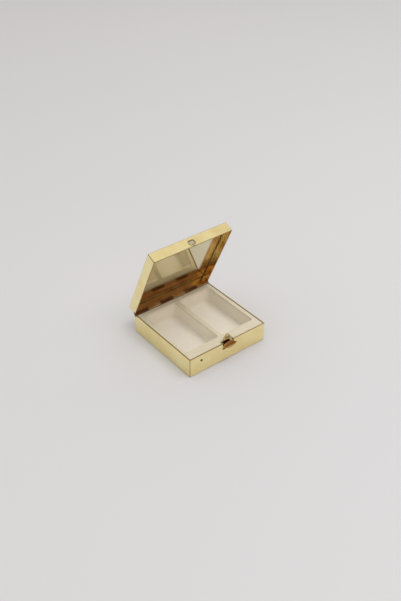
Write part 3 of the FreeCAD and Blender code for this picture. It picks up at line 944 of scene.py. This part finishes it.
@dataclass
class Case:
    """Both halves of the case, made from brass sheet."""

    # cosines between a face's normal and a way: lies along it, leans, lies across it
    facing: float = 0.9
    leaning: float = 0.5
    across: float = 0.3
    rim_band_mm: float = 0.1
    hole_half_width_mm: float = 2.0
    hole_height_mm: tuple[float, float] = (0.3, 4.0)
    # the hole's own walls lie inside the sheet, between its two faces
    hole_depth_mm: tuple[float, float] = (0.02, 0.44)

    def outside(self, turn: Turn, hole_at: Vector | None = None) -> BrassFinish:
        """Lacquered brass sheet, fine brushed: pale gold with a soft, slightly hazy shine.

        Args:
            turn: how the piece lies at rest.
            hole_at: middle of a hole in it, if it has one.

        Returns:
            The finish.
        """
        return BrassFinish(
            name="Lacquered brass sheet, fine brushed, " + turn.name.lower(),
            clean="#FFF3BA",
            deep="#F8E3A2",
            edge="#5C4216",
            roughness=0.18,
            roughness_spread=0.05,
            grain=Pattern(0.16, 0.0008),
            marks=Pattern(2.2, 0.003),
            wave=Pattern(12.0, 0.12),
            mark_tone=0.25,
            edge_mm=0.25,
            crease_shade_mm=0.5,
            crease_shade_share=0.75,
            rounding_share=0.92,
            soft_mm=0.08,
            turn=turn,
            lacquer=0.1,
            hole_at=hole_at,
        )

    def cut_edge(self, turn: Turn) -> BrassFinish:
        """Cut edge of the sheet, painted dark brown for the shade of the gap beside it and the
        dark it mirrors; duller than the faces beside it.

        Args:
            turn: how the piece lies at rest.

        Returns:
            The finish.
        """
        return BrassFinish(
            name="Cut edge of brass sheet, browned, " + turn.name.lower(),
            clean="#C4A35E",
            deep="#A2803F",
            edge="#4A3415",
            roughness=0.3,
            roughness_spread=0.08,
            grain=Pattern(0.08, 0.002),
            marks=Pattern(0.5, 0.004),
            wave=Pattern(6.0, 0.01),
            mark_tone=0.5,
            edge_mm=0.05,
            crease_shade_mm=0.3,
            crease_shade_share=0.8,
            rounding_share=0.3,
            soft_mm=0.04,
            turn=turn,
        )

    def inside(self) -> BrassFinish:
        """Gilt brass, drawn and left bright: deeper gold with clear streaks, partly drawing
        marks and partly painted reflection streaks.

        Returns:
            The finish.
        """
        return BrassFinish(
            name="Gilt brass, bright drawn",
            clean="#FFE3A0",
            deep="#C58C46",
            edge="#7A4A22",
            roughness=0.12,
            roughness_spread=0.04,
            grain=Pattern(0.14, 0.0010),
            # deeper than real drawing marks, so that the reflections break up into streaks
            marks=Pattern(0.5, 0.05),
            wave=Pattern(7.0, 0.12),
            # strong tone streaks: drawing marks, and partly painted reflection streaks
            mark_tone=1.1,
            edge_mm=0.15,
            crease_shade_mm=0.5,
            crease_shade_share=0.7,
            rounding_share=0.2,
            soft_mm=0.1,
            turn=Turn.OPEN_LID,
        )

    def dress_base(self) -> bpy.types.Object:
        """Dress the base shell; its rim is the cut edge of the sheet.

        Returns:
            The piece's object.
        """
        base = dress(
            "base_shell", self.outside(Turn.LEVEL).build(), self.cut_edge(Turn.LEVEL).build()
        )
        rim = max(face.center.z for face in base.data.polygons)
        for face in base.data.polygons:
            if face.normal.z > self.facing and face.center.z > rim - self.rim_band_mm * MM:
                face.material_index = Wall.CUT_EDGE.value
        return base

    def dress_lid(self) -> bpy.types.Object:
        """Dress the lid shell outside and inside, with cut edges at its rim and hole.

        Returns:
            The piece's object.
        """
        faces = frame["nodes"]["lid_shell"].data.polygons
        angle = Turn.OPEN_LID.value
        low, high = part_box("mirror_glass")
        middle = (low + high) / 2
        to_front = Vector((0, -math.cos(angle), math.sin(angle)))
        to_panel = Vector((0, math.sin(angle), math.cos(angle)))
        rim = min(face.center.dot(to_panel) for face in faces)
        front = max(face.center.dot(to_front) for face in faces)
        walls = {}
        ring = []
        for face in faces:
            up_mm = (face.center.dot(to_panel) - rim) / MM
            behind_mm = (front - face.center.dot(to_front)) / MM
            outwards = face.center - middle
            outwards -= to_panel * outwards.dot(to_panel)
            lean = face.normal.dot(to_panel)
            in_hole = (
                abs(face.center.x) < self.hole_half_width_mm * MM
                and self.hole_depth_mm[0] < behind_mm < self.hole_depth_mm[1]
                and self.hole_height_mm[0] < up_mm < self.hole_height_mm[1]
                and abs(face.normal.dot(to_front)) < self.across
            )
            faces_in = face.normal.dot(outwards) < 0 and abs(lean) < self.leaning
            faces_down = lean < -self.facing
            if in_hole:
                ring.append(face.center)
                walls[face.index] = Wall.CUT_EDGE
            elif faces_down and up_mm < self.rim_band_mm:
                walls[face.index] = Wall.CUT_EDGE
            elif faces_in or faces_down:
                walls[face.index] = Wall.INSIDE
        hole_at = sum(ring, Vector()) / len(ring)
        lid = dress(
            "lid_shell",
            self.outside(Turn.OPEN_LID, hole_at).build(),
            self.cut_edge(Turn.OPEN_LID).build(),
            self.inside().build(),
        )
        for index, wall in walls.items():
            lid.data.polygons[index].material_index = wall.value
        return lid

    def dress(self) -> list[bpy.types.Object]:
        """Dress both shells and hand them back."""
        return [self.dress_base(), self.dress_lid()]


@dataclass
class Hinge:
    """Leaves with rolled knuckles, and the pin through them."""

    def rolled(self, name: str, clean: str, deep: str, turn: Turn) -> BrassFinish:
        """Drawn strip rolled into knuckles: satin with die marks, with painted shade in its
        creases.

        Args:
            name: what tells this strip from the others.
            clean: colour where the strip is clean.
            deep: colour where it has browned.
            turn: how the piece lies at rest.

        Returns:
            The finish.
        """
        return BrassFinish(
            name="Drawn brass strip, " + name,
            clean=clean,
            deep=deep,
            edge="#4A2A10",
            roughness=0.2,
            roughness_spread=0.07,
            grain=Pattern(0.12, 0.0012),
            marks=Pattern(0.5, 0.022),
            wave=Pattern(6.0, 0.05),
            mark_tone=0.7,
            edge_mm=0.12,
            crease_shade_mm=0.7,
            crease_shade_share=0.9,
            rounding_share=0.0,
            soft_mm=0.08,
            turn=turn,
        )

    def dress(self) -> list[bpy.types.Object]:
        """Dress both leaves and the pin; the base leaf has browned most.

        Returns:
            The dressed pieces.
        """
        gilt = self.rolled("gilt", "#EFCD96", "#B07C42", Turn.OPEN_LID)
        bare = self.rolled("bare and browned", "#9C6C3A", "#6B4220", Turn.LEVEL)
        darkened = bare.build()
        return [
            dress("lid_hinge_leaf", gilt.build()),
            dress("base_hinge_leaf", darkened),
            dress("hinge_pin", darkened),
        ]


@dataclass
class Latch:
    """Spring strip with the catch tongue and the thumb button, and the rivet."""

    def strip(self) -> BrassFinish:
        """Spring brass as rolled: bright pale gold, with painted shade at its foot.

        Returns:
            The finish.
        """
        return BrassFinish(
            name="Spring brass strip, rolled",
            clean="#EBD9A6",
            deep="#DCC187",
            edge="#3A2008",
            roughness=0.18,
            roughness_spread=0.05,
            grain=Pattern(0.1, 0.0010),
            marks=Pattern(0.5, 0.004),
            wave=Pattern(4.0, 0.02),
            mark_tone=0.6,
            edge_mm=0.14,
            # painted shade at the foot of the tongue and the spring
            crease_shade_mm=1.1,
            crease_shade_share=1.0,
            rounding_share=0.2,
            soft_mm=0.06,
            turn=Turn.LEVEL,
        )

    def handled(self) -> BrassFinish:
        """Stamped brass worn by the thumb: painted shade in its hollows, bright at its lip.

        Returns:
            The finish.
        """
        return BrassFinish(
            name="Stamped brass, handled",
            clean="#F2CE86",
            deep="#B98544",
            edge="#3F230A",
            roughness=0.2,
            roughness_spread=0.06,
            grain=Pattern(0.1, 0.0012),
            marks=Pattern(0.5, 0.02),
            wave=Pattern(3.0, 0.03),
            mark_tone=0.5,
            edge_mm=0.16,
            crease_shade_mm=0.9,
            crease_shade_share=0.9,
            rounding_share=0.0,
            soft_mm=0.32,
            turn=Turn.LEVEL,
        )

    def riveted(self) -> BrassFinish:
        """Rivet wire, clinched: dark brown.

        Returns:
            The finish.
        """
        return BrassFinish(
            name="Brass rivet wire, clinched",
            clean="#9A7A40",
            deep="#6E5326",
            edge="#3A2A10",
            roughness=0.32,
            roughness_spread=0.06,
            grain=Pattern(0.08, 0.0015),
            marks=Pattern(0.3, 0.004),
            wave=Pattern(2.0, 0.01),
            mark_tone=0.5,
            edge_mm=0.1,
            crease_shade_mm=0.3,
            crease_shade_share=0.9,
            rounding_share=0.5,
            soft_mm=0.06,
            turn=Turn.LEVEL,
        )

    def dress(self) -> list[bpy.types.Object]:
        """Dress the moving latch pieces and the rivet that holds them.

        Returns:
            The dressed pieces.
        """
        strip = self.strip().build()
        return [
            dress("latch_spring", strip),
            dress("catch_tongue", strip),
            dress("thumb_button", self.handled().build()),
            dress("latch_rivet", self.riveted().build()),
        ]


@dataclass
class Tray:
    """Moulded insert with two compartments."""

    def dress(self) -> list[bpy.types.Object]:
        """Dress the tray, darker and yellower towards its top, and hand it back."""
        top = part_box("compartment_tray")[1].z
        return [dress("compartment_tray", MouldedPlastic(top).build())]


@dataclass
class Mirror:
    """Glass, silvering and adhesive in the lid."""

    glass: FloatGlass = FloatGlass()
    edge: GroundGlass = GroundGlass()
    silver: SilverCoat = SilverCoat()
    adhesive: PressedAdhesive = PressedAdhesive()
    film_gap_mm: float = 0.005
    # cosines to the pane's own way back: its back face, and the sides round it
    back_face: float = 0.99
    side_face: float = 0.9

    def part_films(self) -> None:
        """Shrink the silvering a hair, so that it and the glass share no face."""
        gap = frame["nodes"]["mirror_silvering"].modifiers.new("film_gap", "DISPLACE")
        gap.mid_level = 0.0
        gap.strength = -self.film_gap_mm * MM

    def dress(self) -> list[bpy.types.Object]:
        """Dress the stack; the glass shows its silvering on its back face.

        Returns:
            The dressed pieces.
        """
        self.part_films()
        silver = self.silver.build()
        pane = dress("mirror_glass", self.glass.build(), silver, self.edge.build())
        coat = dress("mirror_silvering", silver)
        pad = dress("mirror_adhesive", self.adhesive.build())
        angle = Turn.OPEN_LID.value
        backwards = Vector((0, math.sin(angle), math.cos(angle)))
        for face in pane.data.polygons:
            facing = face.normal.dot(backwards)
            if facing > self.back_face:
                face.material_index = Layer.SILVERED.value
            elif abs(facing) < self.side_face:
                face.material_index = Layer.GROUND.value
        return [pane, coat, pad]


@dataclass
class Studio:
    """Pale table, soft sky of light and the camera."""

    table_size: float = 6.0
    table_tone: str = "#D6D6D9"
    table_cloud: str = "#D2D3D7"
    table_cloud_across: float = 0.25
    table_roughness: float = 0.8
    table_ior: float = 1.3
    camera_azimuth: float = -38.19
    camera_elevation: float = 36.28
    camera_distance: float = 0.41455
    aim: tuple[float, float, float] = (0.01811, 0.02199, 0.0)
    lens_mm: float = 48.04
    sensor_mm: float = 36.0
    clip_start: float = 0.01
    key_size: float = 0.9
    key_place: tuple[float, float, float] = (0.25, -0.40, 1.00)
    key_watts: float = 6.1
    light_tone: str = "#FFFDF8"
    overhead: float = 0.86
    overhead_from: float = 0.7
    horizon: float = 0.5
    band: tuple[float, float] = (0.11, 0.2)
    room_way: tuple[float, float, float] = (0.503, -0.704, 0.503)
    room_tone: str = "#A28675"
    room_reach: tuple[float, float] = (0.62, 0.84)

    def build_table(self) -> None:
        """Lay the table top: matt paint, pale grey with the faintest clouding."""
        bpy.ops.mesh.primitive_plane_add(size=self.table_size)
        table = bpy.context.object
        table.name = "table"
        material, tree = blank_material("Painted table top")
        place = add_node(tree, "ShaderNodeTexCoord")
        cloud = add_node(
            tree,
            "ShaderNodeTexNoise",
            inputs={
                "Vector": place.outputs["Object"],
                "Scale": 1 / self.table_cloud_across,
                "Detail": 2.0,
            },
        )
        tone = add_node(
            tree,
            "ShaderNodeMix",
            {"data_type": "RGBA"},
            {
                "Factor": cloud.outputs[0],
                COLOUR_FROM: linear_colour(self.table_tone),
                COLOUR_TO: linear_colour(self.table_cloud),
            },
        )
        shader = add_node(
            tree,
            "ShaderNodeBsdfPrincipled",
            inputs={
                "Base Color": tone.outputs[COLOUR_MIXED],
                "Roughness": self.table_roughness,
                "IOR": self.table_ior,
            },
        )
        add_node(tree, "ShaderNodeOutputMaterial", inputs={"Surface": shader.outputs[0]})
        table.data.materials.append(material)

    def build_sky(self) -> None:
        """Light the scene softly from all round, but for a dim room in front to the right."""
        world = bpy.data.worlds.new("soft_sky")
        bpy.context.scene.world = world
        world.use_nodes = True
        tree = world.node_tree
        tree.nodes.clear()
        place = add_node(tree, "ShaderNodeTexCoord")
        towards_room = add_node(
            tree,
            "ShaderNodeVectorMath",
            {"operation": "DOT_PRODUCT"},
            {0: place.outputs["Generated"], 1: self.room_way},
        )
        dimness = add_node(
            tree,
            "ShaderNodeMapRange",
            {"interpolation_type": "SMOOTHSTEP"},
            {
                "Value": towards_room.outputs["Value"],
                "From Min": self.room_reach[0],
                "From Max": self.room_reach[1],
            },
        )
        tone = add_node(
            tree,
            "ShaderNodeMix",
            {"data_type": "RGBA"},
            {
                "Factor": dimness.outputs[0],
                COLOUR_FROM: linear_colour(self.light_tone),
                COLOUR_TO: linear_colour(self.room_tone),
            },
        )
        way = add_node(
            tree, "ShaderNodeSeparateXYZ", inputs={"Vector": place.outputs["Generated"]}
        )
        strength = add_node(
            tree,
            "ShaderNodeMapRange",
            inputs={
                "Value": way.outputs["Z"],
                "From Min": 0.0,
                "From Max": self.overhead_from,
                "To Min": self.horizon,
                "To Max": self.overhead,
            },
        )
        light = add_node(
            tree,
            "ShaderNodeBackground",
            inputs={"Color": tone.outputs[COLOUR_MIXED], "Strength": strength.outputs[0]},
        )
        # a pale band along the horizon carries the table on, for the eye and for the metal
        backdrop = add_node(
            tree,
            "ShaderNodeBackground",
            inputs={"Color": linear_colour(self.table_tone), "Strength": 1.0},
        )
        above_band = add_node(
            tree,
            "ShaderNodeMapRange",
            {"interpolation_type": "SMOOTHSTEP"},
            {
                "Value": way.outputs["Z"],
                "From Min": self.band[0],
                "From Max": self.band[1],
            },
        )
        sky = add_node(
            tree,
            "ShaderNodeMixShader",
            inputs={0: above_band.outputs[0], 1: backdrop.outputs[0], 2: light.outputs[0]},
        )
        add_node(tree, "ShaderNodeOutputWorld", inputs={"Surface": sky.outputs[0]})

    def build_key(self) -> None:
        """Hang one wide soft lamp above the front; metal and glass do not mirror it."""
        data = bpy.data.lights.new("key", "AREA")
        data.shape = "DISK"
        data.size = self.key_size
        data.energy = self.key_watts
        lamp = bpy.data.objects.new("key", data)
        bpy.context.scene.collection.objects.link(lamp)
        lamp.location = self.key_place
        lamp.rotation_euler = (-Vector(self.key_place)).to_track_quat("-Z", "Y").to_euler()
        lamp.visible_glossy = False
        lamp.visible_transmission = False

    def build_camera(self) -> None:
        """Set up the camera."""
        data = bpy.data.cameras.new("camera")
        data.lens = self.lens_mm
        data.sensor_width = self.sensor_mm
        data.clip_start = self.clip_start
        camera = bpy.data.objects.new("camera", data)
        bpy.context.scene.collection.objects.link(camera)
        azimuth = math.radians(self.camera_azimuth)
        elevation = math.radians(self.camera_elevation)
        back = Vector(
            (
                math.sin(azimuth) * math.cos(elevation),
                -math.cos(azimuth) * math.cos(elevation),
                math.sin(elevation),
            )
        )
        camera.location = Vector(self.aim) + back * self.camera_distance
        camera.rotation_euler = (-back).to_track_quat("-Z", "Y").to_euler()
        bpy.context.scene.camera = camera

    def build(self) -> None:
        """Build the whole studio."""
        self.build_table()
        self.build_sky()
        self.build_key()
        self.build_camera()
        bpy.context.scene.view_settings.view_transform = "Standard"


def main() -> None:
    """Dress every piece, report it, and set up the studio."""
    logging.basicConfig(level=logging.INFO, format="%(name)s %(message)s")
    for assembly in (Case(), Hinge(), Latch(), Tray(), Mirror()):
        for piece in assembly.dress():
            finishes = ", ".join(material.name for material in piece.data.materials)
            LOG.info("%s: %s", piece.name, finishes)
    Studio().build()


if __name__ == "__main__":
    main()
